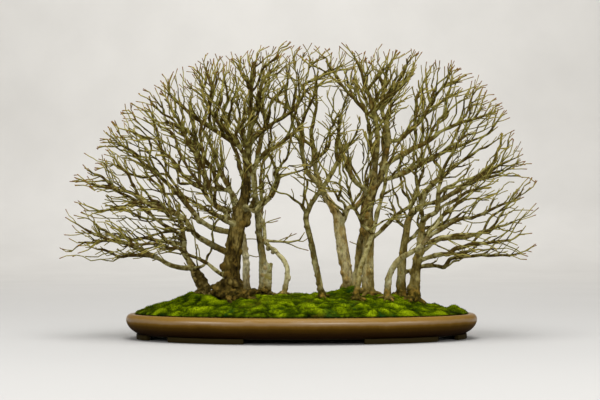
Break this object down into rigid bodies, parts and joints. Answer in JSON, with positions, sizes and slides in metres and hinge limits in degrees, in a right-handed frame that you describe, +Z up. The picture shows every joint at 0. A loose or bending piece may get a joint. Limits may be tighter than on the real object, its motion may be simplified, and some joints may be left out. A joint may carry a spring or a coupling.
{
  "type": "trident maple bonsai group planting in an oval tray",
  "caption": "Leafless trident maple forest with a wide domed crown of fine twigs on a mossy mound in a long, shallow, glazed oval tray.",
  "frame": {"origin": "middle of the tray, on the surface that its feet stand on", "axes": "+Z up, +X along the tray to the right as seen from the front, -Y towards the front"},
  "size_m": [0.9304, 0.36, 0.5902],
  "materials": {
    "tray_glaze": "satin",
    "screen_plastic": "matte",
    "planting_mix": "matte",
    "moss_carpet": "matte",
    "maple_bark": "matte",
    "old_maple_bark": "matte"
  },
  "bodies": {
    "root": {"tray": "tray_glaze", "drain_screen_left": "screen_plastic", "drain_screen_right": "screen_plastic", "soil": "planting_mix", "moss": "moss_carpet", "tree_01": "maple_bark", "tree_02": "old_maple_bark", "tree_03": "maple_bark", "tree_04": "maple_bark", "tree_05": "maple_bark", "tree_06": "maple_bark", "tree_07": "maple_bark", "tree_08": "maple_bark", "tree_09": "maple_bark", "tree_10": "maple_bark", "tree_11": "maple_bark", "tree_12": "maple_bark"}
  },
  "joints": []
}
